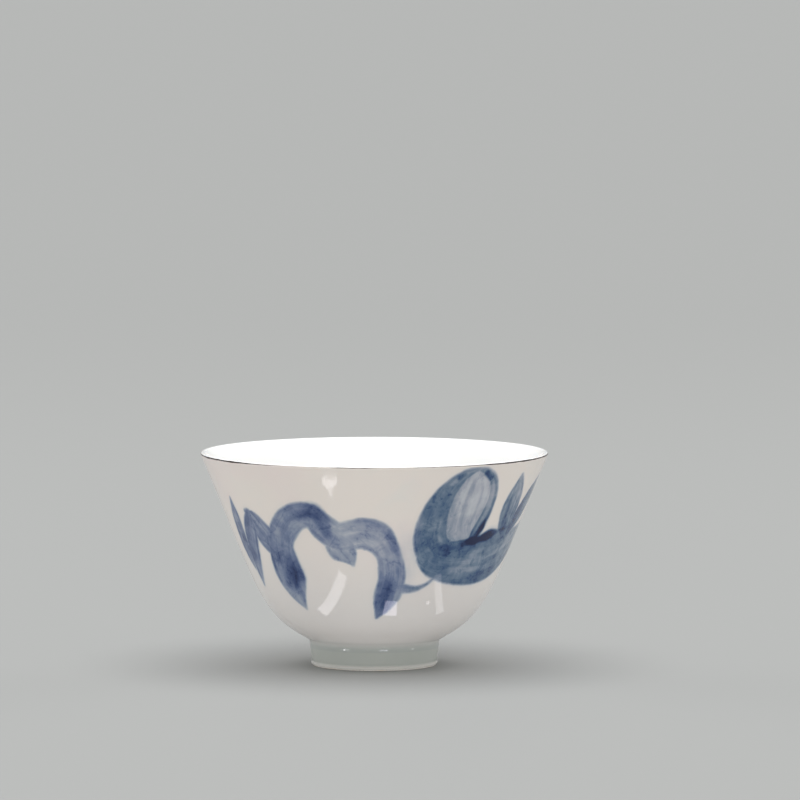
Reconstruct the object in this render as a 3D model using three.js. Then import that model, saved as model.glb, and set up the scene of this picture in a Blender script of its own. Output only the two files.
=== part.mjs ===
// A handleless porcelain tea cup: a flared bowl on a turned foot ring, under its coats of glaze.
// Millimetres, +Z up. The origin is the centre of the ring that the cup stands on, at table height.
import * as THREE from "three";

// Driving dimensions of the glazed cup.
const CUP_HEIGHT = 52.4;
const RIM_RADIUS = 42.5;
const LIP_THICKNESS = 1.1;
const WALL_LEAN = THREE.MathUtils.degToRad(22.5); // how far the wall leans out at the lip
const OUTER_SWEEP = 38.6; // length of the curve handle that draws the outer face down from the lip
const INNER_SWEEP = 47.4; // the same for the inner face; longer, so the wall thickens downwards
const FOOT_HEIGHT = 5;
const FOOT_RADIUS_TOP = 15.85;
const FOOT_RADIUS_BOTTOM = 15.4;
const BELLY_START = [16.5, 6.6]; // radius and height at the top of the foot's fillet
const BELLY_HANDLE = [27.9, 13]; // the belly heads for this point, then turns up the wall
const FOOT_INNER_RADIUS_TOP = 12.6;
const FOOT_INNER_RADIUS_BOTTOM = 12.9;
const RECESS_DEPTH = 5; // from the table up to the underside of the floor
const RECESS_CORNER = 1.2;
const FLOOR_TOP = 8.4; // the inside of the cup, at its lowest
const FLOOR_FLAT_RADIUS = 8;
const FLOOR_HANDLE_RADIUS = 20.2; // the floor heads out level for this radius, then turns up the wall

const GLAZE_THICKNESS = 0.2;
const GLAZE_STOPS_ABOVE_TABLE = 0.5; // the glaze is wiped off the ring that the cup stands on
const STANDING_RING_CHAMFER = 0.3;

// How finely the round forms are divided.
const SEGMENTS = 48;
const WALL_STEPS = 11;
const FILLET_STEPS = 3;
const LIP_STEPS = 8; // with the lean of 22.5 degrees, a step falls on the lip's top and widest points

const materials = {
  glazedPorcelain: { color: 0xdedad5, roughness: 0.12, metalness: 0 },
  barePorcelain: { color: 0xd9d2c8, roughness: 0.7, metalness: 0 },
  whiteGlaze: { color: 0xf4f3ef, roughness: 0.1, metalness: 0 },
  ironWash: { color: 0x3a2620, roughness: 0.3, metalness: 0 },
};

const at = (radius, height) => new THREE.Vector2(radius, height);

// The lip is a half round across the wall's edge, between the two faces of the leaning wall.
const LIP_RADIUS = LIP_THICKNESS / 2;
const lipCentre = at(RIM_RADIUS - LIP_RADIUS, CUP_HEIGHT - LIP_RADIUS);
const upTheWall = at(Math.sin(WALL_LEAN), Math.cos(WALL_LEAN));
const acrossTheWall = at(Math.cos(WALL_LEAN), -Math.sin(WALL_LEAN));
const lipOutside = lipCentre.clone().addScaledVector(acrossTheWall, LIP_RADIUS);
const lipInside = lipCentre.clone().addScaledVector(acrossTheWall, -LIP_RADIUS);

// The wall's outer face: a round belly just above the foot, then a nearly straight flare to the lip.
const outerFace = new THREE.CubicBezierCurve(
  at(...BELLY_START),
  at(...BELLY_HANDLE),
  lipOutside.clone().addScaledVector(upTheWall, -OUTER_SWEEP),
  lipOutside,
);

// The foot's outer face and the small hollow fillet that joins it to the belly.
const footOutside = new THREE.LineCurve(
  at(FOOT_RADIUS_BOTTOM, GLAZE_STOPS_ABOVE_TABLE),
  at(FOOT_RADIUS_TOP, FOOT_HEIGHT),
);
const bellySlope = (BELLY_HANDLE[1] - BELLY_START[1]) / (BELLY_HANDLE[0] - BELLY_START[0]);
const footFillet = new THREE.QuadraticBezierCurve(
  at(FOOT_RADIUS_TOP, FOOT_HEIGHT),
  at(FOOT_RADIUS_TOP, BELLY_START[1] - bellySlope * (BELLY_START[0] - FOOT_RADIUS_TOP)),
  at(...BELLY_START),
);

// The inside: a flat floor that sweeps up into the wall, which thins towards the lip.
const innerFace = new THREE.CubicBezierCurve(
  at(FLOOR_FLAT_RADIUS, FLOOR_TOP),
  at(FLOOR_HANDLE_RADIUS, FLOOR_TOP),
  lipInside.clone().addScaledVector(upTheWall, -INNER_SWEEP),
  lipInside,
);

// The recess under the cup, inside the foot ring.
const recessCorner = new THREE.QuadraticBezierCurve(
  at(FOOT_INNER_RADIUS_TOP - RECESS_CORNER, RECESS_DEPTH),
  at(FOOT_INNER_RADIUS_TOP, RECESS_DEPTH),
  at(FOOT_INNER_RADIUS_TOP, RECESS_DEPTH - RECESS_CORNER),
);
const recessWallEnd = at(FOOT_INNER_RADIUS_BOTTOM, GLAZE_STOPS_ABOVE_TABLE);

// Points along a face, each moved sideways: positive is to the right of the way the face runs.
function along(curve, steps, sideways = 0) {
  return Array.from({ length: steps + 1 }, (_, i) => {
    const direction = curve.getTangent(i / steps);
    return at(direction.y, -direction.x).multiplyScalar(sideways).add(curve.getPoint(i / steps));
  });
}

// The lip's half round at a given radius, from its outer end over the top to its inner end.
function lipArc(radius) {
  return Array.from({ length: LIP_STEPS + 1 }, (_, i) => {
    const angle = -WALL_LEAN + (Math.PI * i) / LIP_STEPS;
    return at(Math.cos(angle), Math.sin(angle)).multiplyScalar(radius).add(lipCentre);
  });
}

// Each coat of glaze lies between the cup's surface and the clay's, one glaze thickness below it.
// Coat and clay are drawn on the same points, so they meet with no gap.
function outside(depth) {
  return {
    foot: [...along(footOutside, 1, -depth), ...along(footFillet, FILLET_STEPS, -depth).slice(1)],
    bowl: along(outerFace, WALL_STEPS, -depth).slice(1),
  };
}

function inside(depth) {
  return [at(0, FLOOR_TOP - depth), ...along(innerFace, WALL_STEPS, depth)];
}

function recess(depth) {
  return {
    ceiling: at(0, RECESS_DEPTH + depth),
    wall: [...along(recessCorner, FILLET_STEPS, -depth), recessWallEnd.clone().add(at(depth, 0))],
  };
}

const clay = {
  outside: outside(GLAZE_THICKNESS),
  inside: inside(GLAZE_THICKNESS),
  recess: recess(GLAZE_THICKNESS),
  lip: lipArc(LIP_RADIUS - GLAZE_THICKNESS),
};
const surface = { outside: outside(0), inside: inside(0), recess: recess(0), lip: lipArc(LIP_RADIUS) };

function turned(name, profile, finish) {
  const geometry = new THREE.LatheGeometry(profile, SEGMENTS);
  geometry.rotateX(Math.PI / 2); // the lathe's axis is Y
  const mesh = new THREE.Mesh(geometry, new THREE.MeshStandardMaterial(finish));
  mesh.name = name;
  return mesh;
}

// A ring's profile closes on its own first point.
const closed = (profile) => [...profile, profile[0]];
const reversed = (profile) => [...profile].reverse();

// The clay bowl and the clay foot ring meet on a level face, from the fillet's top inwards.
const jointOutside = clay.outside.foot.at(-1);
const jointInside = at(clay.recess.wall[0].x, jointOutside.y);

function porcelainBowl() {
  const wall = [jointOutside, ...clay.outside.bowl, ...clay.lip.slice(1, -1)];
  const underside = [clay.recess.ceiling, clay.recess.wall[0], jointInside];
  const profile = [...underside, ...wall, ...reversed(clay.inside)];
  return turned("porcelain_bowl", profile, materials.barePorcelain);
}

function footRing() {
  const outerEdge = at(FOOT_RADIUS_BOTTOM - GLAZE_THICKNESS - STANDING_RING_CHAMFER, 0);
  const innerEdge = at(FOOT_INNER_RADIUS_BOTTOM + GLAZE_THICKNESS + STANDING_RING_CHAMFER, 0);
  const profile = [outerEdge, ...clay.outside.foot, jointInside, ...clay.recess.wall, innerEdge];
  return turned("foot_ring", closed(profile), materials.barePorcelain);
}

function outerGlaze() {
  const glazed = [...surface.outside.foot, ...surface.outside.bowl];
  const underneath = [...clay.outside.foot, ...clay.outside.bowl];
  return turned("outer_glaze", closed([...glazed, ...reversed(underneath)]), materials.glazedPorcelain);
}

function innerGlaze() {
  return turned("inner_glaze", [...clay.inside, ...reversed(surface.inside)], materials.whiteGlaze);
}

function baseGlaze() {
  const glazed = [surface.recess.ceiling, ...surface.recess.wall];
  const underneath = [clay.recess.ceiling, ...clay.recess.wall];
  return turned("base_glaze", [...glazed, ...reversed(underneath)], materials.glazedPorcelain);
}

function rimLine() {
  return turned("rim_line", closed([...surface.lip, ...reversed(clay.lip)]), materials.ironWash);
}

const group = new THREE.Group();
group.add(porcelainBowl(), footRing(), outerGlaze(), innerGlaze(), baseGlaze(), rimLine());

export default group;
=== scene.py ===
import math

import bpy
import numpy as np
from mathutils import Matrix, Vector


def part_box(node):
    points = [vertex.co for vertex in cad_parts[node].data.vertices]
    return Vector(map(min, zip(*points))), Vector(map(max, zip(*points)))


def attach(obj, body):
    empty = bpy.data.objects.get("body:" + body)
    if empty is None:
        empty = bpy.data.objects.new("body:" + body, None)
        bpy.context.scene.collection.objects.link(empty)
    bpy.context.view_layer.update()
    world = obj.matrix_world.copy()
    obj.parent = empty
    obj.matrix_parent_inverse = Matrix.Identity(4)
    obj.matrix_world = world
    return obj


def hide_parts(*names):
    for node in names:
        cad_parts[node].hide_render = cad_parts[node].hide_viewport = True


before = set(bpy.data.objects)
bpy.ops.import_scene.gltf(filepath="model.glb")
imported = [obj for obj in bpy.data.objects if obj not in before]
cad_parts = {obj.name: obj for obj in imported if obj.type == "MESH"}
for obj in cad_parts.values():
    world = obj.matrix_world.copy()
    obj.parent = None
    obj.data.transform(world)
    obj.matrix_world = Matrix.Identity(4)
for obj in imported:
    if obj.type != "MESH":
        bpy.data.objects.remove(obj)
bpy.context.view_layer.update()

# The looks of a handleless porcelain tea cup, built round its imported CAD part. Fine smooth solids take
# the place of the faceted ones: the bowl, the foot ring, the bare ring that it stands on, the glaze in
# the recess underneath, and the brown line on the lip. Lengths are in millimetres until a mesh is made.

MM = 0.001

# ---------------------------------------------------------------- sizes

# The frame gives what it can. The numbers are the CAD part's own, apart from the seam.
lip_low, lip_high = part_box("rim_line")
RIM_RADIUS = lip_high.x / MM
CUP_HEIGHT = lip_high.z / MM
WALL_LEAN = math.radians(22.5)
LIP_RADIUS = (lip_high.z - lip_low.z) / MM / (1 + math.sin(WALL_LEAN))
LIP_CENTRE = np.array([RIM_RADIUS - LIP_RADIUS, CUP_HEIGHT - LIP_RADIUS])

GLAZE = 0.2  # thickness of a coat
GLAZE_STOPS = 0.5  # this far above the table, where the foot's bare ring starts
FOOT_OUTSIDE = ((15.4, GLAZE_STOPS), (15.85, 5.0))  # (radius, height) at the glaze's edge and the fillet
BELLY_START = (16.5, 6.6)  # (radius, height) at the top of the fillet
BELLY_HANDLE = (27.9, 13.0)  # the belly heads for this point, then turns up the wall
OUTER_SWEEP = 38.6  # length of the curve handle that draws the outer face down from the lip
INNER_SWEEP = 47.4  # the same for the inner face
FLOOR_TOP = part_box("inner_glaze")[0].z / MM + GLAZE
FLOOR_FLAT_RADIUS = 8.0
FLOOR_HANDLE_RADIUS = 20.2  # the floor heads out level for this radius, then turns up the wall
RECESS_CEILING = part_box("base_glaze")[1].z / MM - GLAZE
RECESS_EDGE_RADIUS = 12.9  # at the glaze's edge
RECESS_CORNER_RADIUS = 12.6  # how far out the corner at the ceiling is
RECESS_CORNER = 1.2
SEAM_HEIGHT = 4.5  # the bowl piece and the foot piece meet on the foot's straight wall


# ---------------------------------------------------------------- profiles

# steps in which the curves are drawn, before they are cut into rows
CURVE_STEPS = 400
FILLET_STEPS = 60


def bezier(points, steps):
    """Points along a Bezier curve of any degree, its two ends included."""
    t = np.linspace(0, 1, steps + 1)[:, None]
    rows = [np.array(p, float) * np.ones_like(t) for p in points]
    while len(rows) > 1:
        rows = [a + (b - a) * t for a, b in zip(rows, rows[1:])]
    return rows[0]


def spaced(points, count):
    """The same line, as count + 1 points at equal distances along it."""
    points = np.asarray(points)
    gaps = np.linalg.norm(np.diff(points, axis=0), axis=1)
    run = np.concatenate([[0], np.cumsum(gaps)])
    at = np.linspace(0, run[-1], count + 1)
    return np.stack([np.interp(at, run, points[:, i]) for i in range(points.shape[1])], 1)


def on_circle(centre, angle, radius):
    """Points on a circle in the profile. Angle 0 faces outwards and 90 degrees is the very top."""
    return np.asarray(centre) + radius * np.stack([np.cos(angle), np.sin(angle)], -1)


up_the_wall = np.array([math.sin(WALL_LEAN), math.cos(WALL_LEAN)])
lip_outside = on_circle(LIP_CENTRE, -WALL_LEAN, LIP_RADIUS)
lip_inside = on_circle(LIP_CENTRE, math.pi - WALL_LEAN, LIP_RADIUS)
outer_curve = bezier(
    [BELLY_START, BELLY_HANDLE, lip_outside - OUTER_SWEEP * up_the_wall, lip_outside], CURVE_STEPS)
inner_curve = bezier(
    [(FLOOR_FLAT_RADIUS, FLOOR_TOP), (FLOOR_HANDLE_RADIUS, FLOOR_TOP),
     lip_inside - INNER_SWEEP * up_the_wall, lip_inside], CURVE_STEPS)
fillet_radius, fillet_height = FOOT_OUTSIDE[1]
belly_slope = (BELLY_HANDLE[1] - BELLY_START[1]) / (BELLY_HANDLE[0] - BELLY_START[0])
fillet_corner = (fillet_radius, BELLY_START[1] - belly_slope * (BELLY_START[0] - fillet_radius))
fillet_curve = bezier([(fillet_radius, fillet_height), fillet_corner, BELLY_START], FILLET_STEPS)


def foot_radius(height):
    """Radius of the foot's straight outer wall at a height."""
    (r0, z0), (r1, z1) = FOOT_OUTSIDE
    return r0 + (r1 - r0) * (height - z0) / (z1 - z0)


def wall_radius(height):
    """Radius of the wall's outer face at a height above the foot."""
    return np.interp(height, outer_curve[:, 1], outer_curve[:, 0])


# ---------------------------------------------------------------- hand-made unevenness

# (waves round the cup, how far they stand in and out)
WAVES = [(2, 0.05), (3, 0.035), (5, 0.012), (9, 0.005), (14, 0.003), (23, 0.0022), (31, 0.0018)]
CLIMB_HEIGHT = 6.0  # how quickly the waves change up the wall: the more, the slower
UNEVEN_RADIUS = 10.0  # the waves are full from here outwards, and fade to nothing at the axis

rng = np.random.default_rng(52)
wave_phase = rng.uniform(0, 2 * math.pi, (len(WAVES), 2))
wave_climb = rng.uniform(-0.5, 0.5, len(WAVES))


def unevenness(angle, height):
    """How far the surface stands in or out of a true turned form."""
    out = np.zeros(np.broadcast(angle, height).shape)
    for (count, size), (p, q), climb in zip(WAVES, wave_phase, wave_climb):
        out += size * np.cos(count * angle + p) * np.cos(climb * count * height / CLIMB_HEIGHT + q)
    return out


# ---------------------------------------------------------------- meshes


def new_object(name, data):
    """An object in the scene, made of a mesh, a lamp or a camera."""
    made = bpy.data.objects.new(name, data)
    bpy.context.scene.collection.objects.link(made)
    return made


def angles_round(columns):
    """Equally spaced angles, once round the cup."""
    return np.arange(columns) * 2 * math.pi / columns


def ring_point(angle, radius, height):
    """Angle 0 faces the front, and positive angles go to the right of it."""
    return np.stack([radius * np.sin(angle), -radius * np.cos(angle), height + 0 * angle], -1)


def turned(profile, columns, uneven=True):
    """Rings of points round the axis, one for each (radius, height) of the profile. On the axis a ring is
    one point."""
    rings = []
    for radius, height in profile:
        on_axis = radius < 1e-6
        angles = np.zeros(1) if on_axis else angles_round(columns)
        push = 0
        if uneven and not on_axis:
            push = unevenness(angles, height) * min(1, radius / UNEVEN_RADIUS)
        rings.append(ring_point(angles, radius + push, height))
    return rings


def skin(name, rings, closed=False, sharp=(), slots=None):
    """A smooth piece over rings of points, each joined to the next, and the last to the first if it is
    closed. Rings that run bottom to top on the outside make faces that point out. Sharp lists the rings
    that are hard edges, and slots gives each band between two rings its material."""
    columns = max(len(ring) for ring in rings)
    first = [0]
    for ring in rings:
        first.append(first[-1] + len(ring))
    faces = []
    for i in range(len(rings) if closed else len(rings) - 1):
        k = (i + 1) % len(rings)
        for j in range(columns):
            n = (j + 1) % columns
            low = (first[i],) if len(rings[i]) == 1 else (first[i] + j, first[i] + n)
            high = (first[k],) if len(rings[k]) == 1 else (first[k] + n, first[k] + j)
            faces.append(low + high)
    mesh = bpy.data.meshes.new(name)
    mesh.from_pydata((np.concatenate(rings) * MM).tolist(), [], faces)
    mesh.shade_smooth()
    if slots:
        mesh.polygons.foreach_set("material_index", np.repeat(slots, columns).astype(np.int32))
    if sharp:
        edges = np.zeros(len(mesh.edges) * 2, np.int32)
        mesh.edges.foreach_get("vertices", edges)
        edges = edges.reshape(-1, 2)
        flags = np.zeros(len(edges), bool)
        for hard in sharp:
            flags |= ((edges >= first[hard]) & (edges < first[hard + 1])).all(1)
        mesh.attributes.new("sharp_edge", "BOOLEAN", "EDGE").data.foreach_set("value", flags)
    mesh.update()
    return new_object(name, mesh)


# ---------------------------------------------------------------- brushwork

# The cup carries a scrolling vine in loose cobalt washes: a ribbon of stem, leaves, and a bud on a leaf.
# Each stroke is a row of (angle, height, half width, load): degrees from the front, millimetres above
# the table, half the stroke's width in millimetres, and how much pigment the brush leaves there.
# The washes run into each other, the touches and the soft strokes add to what they cross, and the soft
# strokes fade towards their sides. In each layer a place takes the one stroke that it lies deepest in, so
# strokes that cross are in different layers.
WASH_A, WASH_B, WASH_C, TOUCH, SOFT_A, SOFT_B = range(6)
WASHES = (WASH_A, WASH_B, WASH_C)
SOFT_LAYERS = (SOFT_A, SOFT_B)
LAYERS = 6
STROKES = [
    # the stem rises and dips, both its ends hang as pointed leaves, and a thin tail runs on to the bud
    (WASH_A, [
        (-37.6, 15.9, 0.3, 0.5), (-39.2, 18.4, 2.0, 0.6), (-40.4, 21.2, 3.7, 0.72), (-41.0, 24.4, 4.6, 0.86),
        (-41.6, 28.4, 4.4, 0.94), (-40.6, 33.0, 3.7, 0.94), (-36.0, 37.0, 3.7, 0.82), (-29.8, 39.6, 3.3, 0.8),
        (-24.0, 39.6, 3.2, 0.82), (-19.2, 36.8, 3.6, 0.78), (-14.4, 34.8, 3.7, 0.64), (-9.2, 35.2, 3.7, 0.6),
        (-3.8, 35.6, 4.0, 0.62), (1.2, 34.4, 4.1, 0.64), (5.4, 30.8, 3.0, 0.62), (7.4, 26.8, 3.2, 0.64),
        (7.6, 23.4, 3.3, 0.8), (6.0, 20.0, 3.2, 0.88), (3.6, 16.8, 2.0, 0.86), (1.0, 14.2, 0.3, 0.8)]),
    (WASH_C, [
        (8.4, 21.2, 1.4, 0.7), (12.6, 21.6, 1.3, 0.78), (17.0, 21.5, 0.95, 0.78), (21.0, 21.8, 0.6, 0.72),
        (24.6, 22.7, 0.45, 0.7), (27.6, 24.2, 0.5, 0.75), (30.6, 26.0, 0.9, 0.8)]),
    # a small leaf hangs from the dip
    (WASH_B, [
        (-16.8, 34.8, 2.2, 0.5), (-15.0, 33.0, 3.3, 0.55), (-13.0, 31.4, 3.5, 0.57), (-11.0, 29.9, 2.6, 0.57),
        (-9.6, 28.5, 1.2, 0.56), (-8.9, 27.5, 0.3, 0.5)]),
    (SOFT_B, [(-15.0, 32.8, 0.5, 0.1), (-12.2, 30.6, 0.8, 0.25), (-9.8, 28.6, 0.4, 0.1)]),
    # pigment that settled in the stem
    (SOFT_A, [
        (-34.6, 38.9, 2.0, 0.25), (-30.2, 40.3, 2.2, 0.68), (-26.0, 40.7, 2.4, 0.95),
        (-22.2, 41.0, 2.4, 1.05), (-19.9, 38.4, 2.1, 0.95), (-18.2, 35.4, 1.6, 0.5),
        (-17.0, 33.2, 1.0, 0.2)]),
    (SOFT_A, [
        (-41.0, 30.0, 2.2, 0.15), (-38.8, 27.6, 3.2, 0.7), (-38.0, 24.6, 3.4, 1.0), (-40.0, 21.8, 2.8, 0.6)]),
    # painted shade: a faint wide haze right of the stem, darkening the porcelain there
    (SOFT_A, [
        (12.0, 37.6, 2.6, 0.03), (13.0, 32.0, 4.2, 0.1), (14.0, 26.6, 4.0, 0.1), (15.4, 22.4, 2.4, 0.03)]),
    (SOFT_A, [(7.0, 25.2, 1.4, 0.1), (5.8, 22.2, 2.3, 0.75), (4.8, 19.0, 2.2, 0.95), (3.2, 17.0, 1.6, 0.5)]),
    (SOFT_B, [
        (-29.6, 38.4, 0.5, 0.1), (-27.0, 40.2, 0.9, 0.4), (-24.4, 40.4, 1.1, 0.5), (-22.4, 38.6, 0.8, 0.3)]),
    (SOFT_B, [
        (-38.4, 26.8, 0.7, 0.1), (-37.6, 24.4, 1.2, 0.25), (-38.2, 22.6, 1.1, 0.25),
        (-39.4, 21.0, 0.6, 0.1)]),
    (SOFT_B, [
        (-12.0, 36.6, 0.8, 0.1), (-7.0, 38.2, 1.2, 0.2), (-1.6, 38.2, 1.4, 0.28), (4.0, 35.8, 1.4, 0.28),
        (8.8, 31.4, 1.5, 0.28), (10.6, 27.4, 1.4, 0.22), (11.0, 24.6, 0.8, 0.1)]),
    (SOFT_B, [
        (-46.0, 27.6, 1.6, 0.2), (-46.4, 31.4, 1.6, 0.3), (-44.0, 35.0, 1.6, 0.25), (-39.6, 38.0, 1.4, 0.2)]),
    # leaves to the left of it
    (WASH_C, [
        (-64.8, 42.6, 0.4, 0.7), (-65.8, 38.4, 1.8, 0.95), (-66.8, 34.4, 2.2, 1.05), (-67.4, 30.6, 2.1, 1.05),
        (-67.2, 27.4, 1.3, 1.0), (-66.4, 25.0, 0.5, 0.8)]),
    (WASH_B, [
        (-54.8, 39.4, 1.2, 0.9), (-57.2, 35.4, 2.5, 1.15), (-59.6, 31.6, 2.5, 1.2), (-61.6, 28.0, 2.2, 1.1),
        (-63.2, 24.6, 1.5, 1.0), (-64.6, 21.0, 0.4, 0.8)]),
    (WASH_C, [
        (-56.0, 39.6, 0.9, 0.7), (-53.4, 38.0, 2.5, 0.85), (-50.4, 35.6, 3.2, 0.9), (-47.2, 33.0, 3.4, 0.85),
        (-44.0, 30.2, 2.6, 0.7)]),
    # the bud: a broad petal, a narrow one, and the pale heart between them
    (WASH_A, [
        (37.6, 51.2, 0.5, 0.7), (33.4, 50.3, 1.2, 0.8), (29.2, 48.3, 2.0, 0.86), (25.4, 44.8, 2.9, 0.9),
        (22.8, 40.4, 3.7, 0.9), (22.0, 36.0, 4.2, 0.92), (23.8, 32.2, 4.4, 0.94), (28.0, 29.8, 4.2, 0.92),
        (34.0, 29.2, 3.0, 0.9)]),
    (WASH_B, [
        (35.4, 51.3, 0.4, 0.7), (40.6, 50.3, 1.0, 0.75), (44.6, 48.0, 1.3, 0.7), (46.6, 44.6, 1.5, 0.64),
        (46.4, 40.8, 1.7, 0.68), (44.9, 37.4, 1.9, 0.9), (43.0, 34.6, 1.7, 1.15), (41.4, 32.6, 1.0, 1.1)]),
    (SOFT_A, [
        (41.6, 50.2, 0.7, 0.2), (46.4, 47.4, 0.8, 0.35), (48.2, 43.6, 0.8, 0.35), (47.6, 39.6, 0.8, 0.4),
        (45.8, 36.2, 0.9, 0.5)]),
    (WASH_C, [
        (37.6, 49.2, 3.0, 0.47), (37.4, 47.6, 4.8, 0.47), (37.0, 45.0, 6.0, 0.46), (36.2, 41.4, 6.8, 0.46),
        (35.8, 37.8, 6.6, 0.48), (36.4, 35.2, 5.8, 0.5), (37.6, 33.6, 4.4, 0.5)]),
    (SOFT_B, [
        (33.0, 48.8, 1.4, 0.15), (29.4, 45.0, 2.4, 0.3), (27.6, 40.4, 3.2, 0.38), (28.4, 36.2, 3.4, 0.42),
        (32.4, 33.4, 2.6, 0.38)]),
    (SOFT_A, [
        (36.8, 48.8, 0.6, 0.1), (35.0, 45.2, 0.9, 0.2), (34.2, 41.2, 0.9, 0.2), (34.8, 36.8, 0.6, 0.1)]),
    (SOFT_A, [
        (39.4, 48.4, 0.6, 0.1), (40.8, 45.0, 0.8, 0.18), (40.4, 41.0, 0.8, 0.18), (39.2, 37.0, 0.6, 0.1)]),
    (SOFT_A, [
        (29.0, 47.0, 1.6, 0.2), (23.8, 42.0, 2.6, 0.28), (21.6, 37.0, 3.2, 0.36), (23.4, 32.6, 3.4, 0.4),
        (31.0, 30.6, 3.0, 0.48), (42.0, 31.3, 2.8, 0.52), (54.0, 31.8, 2.6, 0.5), (65.0, 32.8, 2.0, 0.3)]),
    # the leaf that it rests on, with its midrib
    (WASH_B, [
        (20.6, 31.4, 2.0, 0.85), (22.8, 30.0, 3.4, 0.9), (26.8, 28.8, 4.5, 0.96), (33.0, 28.1, 5.3, 0.95),
        (42.0, 27.9, 6.0, 0.92), (52.0, 28.0, 6.3, 0.9), (62.0, 28.8, 6.1, 0.92), (71.0, 30.0, 5.2, 0.98),
        (79.0, 31.8, 3.8, 0.95), (85.0, 34.2, 2.3, 0.9), (89.0, 36.6, 0.5, 0.75)]),
    (SOFT_A, [
        (25.0, 27.2, 0.6, 0.15), (33.0, 26.6, 1.1, 0.26), (44.0, 26.6, 1.2, 0.3), (57.0, 27.4, 1.2, 0.28),
        (70.0, 29.4, 1.0, 0.24), (81.0, 32.6, 0.6, 0.2)]),
    (SOFT_B, [
        (24.0, 26.2, 1.4, 0.2), (31.0, 24.8, 2.0, 0.42), (40.0, 23.9, 2.3, 0.5), (52.0, 23.6, 2.3, 0.5),
        (64.0, 24.6, 1.9, 0.42), (76.0, 27.4, 1.3, 0.25)]),
    # leaves on its right shoulder
    (WASH_C, [
        (62.8, 33.4, 1.4, 1.15), (61.4, 36.6, 3.3, 1.2), (61.2, 40.2, 4.1, 1.0), (61.2, 43.6, 3.5, 0.85),
        (61.0, 46.4, 2.1, 0.8), (60.6, 48.4, 0.7, 0.6)]),
    (WASH_C, [
        (66.8, 34.4, 1.5, 1.4), (70.4, 37.2, 2.6, 1.5), (74.6, 40.4, 3.1, 1.4), (78.4, 43.8, 2.6, 1.2),
        (81.2, 47.2, 0.5, 0.9)]),
    (SOFT_B, [(61.4, 34.8, 1.6, 0.8), (59.2, 38.2, 1.7, 0.7), (58.8, 42.0, 1.2, 0.3)]),
    # near-black touches where the loaded brush paused
    (TOUCH, [
        (38.0, 32.4, 0.4, 0.5), (41.2, 32.8, 1.0, 1.1), (44.0, 33.0, 1.1, 1.4), (46.2, 33.1, 0.7, 1.2),
        (48.8, 33.5, 1.1, 1.8), (51.8, 34.1, 1.3, 2.1), (54.4, 34.4, 1.0, 1.8), (57.0, 34.6, 0.5, 1.2),
        (61.0, 35.0, 0.45, 1.0), (66.0, 35.4, 0.2, 0.5)]),
    (TOUCH, [(44.4, 34.4, 0.6, 0.9), (45.4, 35.8, 0.9, 1.2), (46.2, 37.2, 0.7, 1.1), (46.6, 38.2, 0.3, 0.6)]),
    (SOFT_B, [
        (40.6, 32.9, 1.2, 0.6), (43.6, 33.2, 1.5, 0.9), (47.0, 33.4, 1.4, 0.8), (51.0, 33.8, 1.4, 0.7)]),
    (SOFT_B, [(40.6, 49.9, 1.0, 1.2), (43.0, 48.6, 0.9, 1.0)]),
    (SOFT_B, [(29.8, 49.2, 1.0, 0.9), (31.8, 49.8, 0.7, 0.5)]),
    # the back goes on in the same hand: a long low wave of stem with four leaves runs to the second bud
    (WASH_A, [
        (103.0, 18.4, 1.6, 0.6), (104.6, 22.4, 2.8, 0.82), (107.4, 27.4, 3.6, 0.9), (112.0, 32.6, 4.0, 0.86),
        (118.4, 36.4, 3.7, 0.82), (125.4, 36.6, 3.3, 0.8), (131.4, 33.4, 3.1, 0.76), (136.8, 28.8, 3.2, 0.72),
        (143.0, 25.0, 3.4, 0.7), (150.6, 23.4, 3.2, 0.72), (158.4, 24.2, 2.7, 0.76), (166.0, 26.6, 2.1, 0.8),
        (173.6, 29.4, 1.5, 0.8), (181.0, 31.4, 1.1, 0.78), (188.4, 31.8, 0.9, 0.76),
        (195.0, 30.8, 1.2, 0.8)]),
    (SOFT_A, [
        (110.0, 32.0, 2.0, 0.3), (115.6, 36.2, 2.4, 0.8), (122.0, 38.2, 2.4, 1.0), (128.4, 36.0, 2.2, 0.7),
        (133.0, 32.0, 1.6, 0.2)]),
    (SOFT_A, [(107.8, 29.6, 2.2, 0.2), (106.6, 25.0, 2.6, 0.7), (105.0, 20.6, 2.0, 0.5)]),
    (SOFT_A, [
        (140.0, 27.0, 2.0, 0.2), (147.0, 23.8, 2.4, 0.6), (155.0, 23.4, 2.2, 0.6), (163.0, 25.6, 1.6, 0.2)]),
    (WASH_B, [
        (141.0, 27.6, 0.9, 0.95), (142.8, 31.6, 2.6, 1.05), (146.6, 36.2, 3.6, 1.0), (151.0, 40.4, 2.9, 0.95),
        (155.0, 44.0, 0.5, 0.8)]),
    (WASH_C, [
        (139.4, 27.4, 0.9, 0.95), (137.6, 32.0, 2.2, 1.05), (136.8, 37.0, 2.9, 1.0), (137.6, 41.8, 2.0, 0.9),
        (139.2, 45.8, 0.4, 0.8)]),
    (WASH_C, [
        (121.6, 33.8, 0.8, 0.9), (121.8, 29.4, 2.2, 1.0), (123.6, 24.8, 2.8, 1.0), (127.2, 20.6, 1.9, 0.9),
        (130.6, 17.8, 0.4, 0.75)]),
    (WASH_B, [
        (166.4, 27.6, 0.7, 0.9), (168.8, 32.0, 2.0, 1.0), (172.8, 36.2, 2.6, 1.0), (177.2, 39.8, 1.7, 0.9),
        (180.4, 42.4, 0.4, 0.8)]),
    (SOFT_B, [(142.0, 29.0, 0.6, 0.15), (146.6, 36.0, 0.8, 0.35), (152.0, 41.6, 0.5, 0.15)]),
    (SOFT_B, [(138.8, 30.0, 0.6, 0.15), (137.0, 37.0, 0.8, 0.35), (138.4, 42.8, 0.5, 0.1)]),
    (SOFT_B, [(121.8, 31.0, 0.6, 0.15), (123.6, 25.0, 0.8, 0.3), (127.8, 20.4, 0.5, 0.1)]),
    (TOUCH, [
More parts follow.
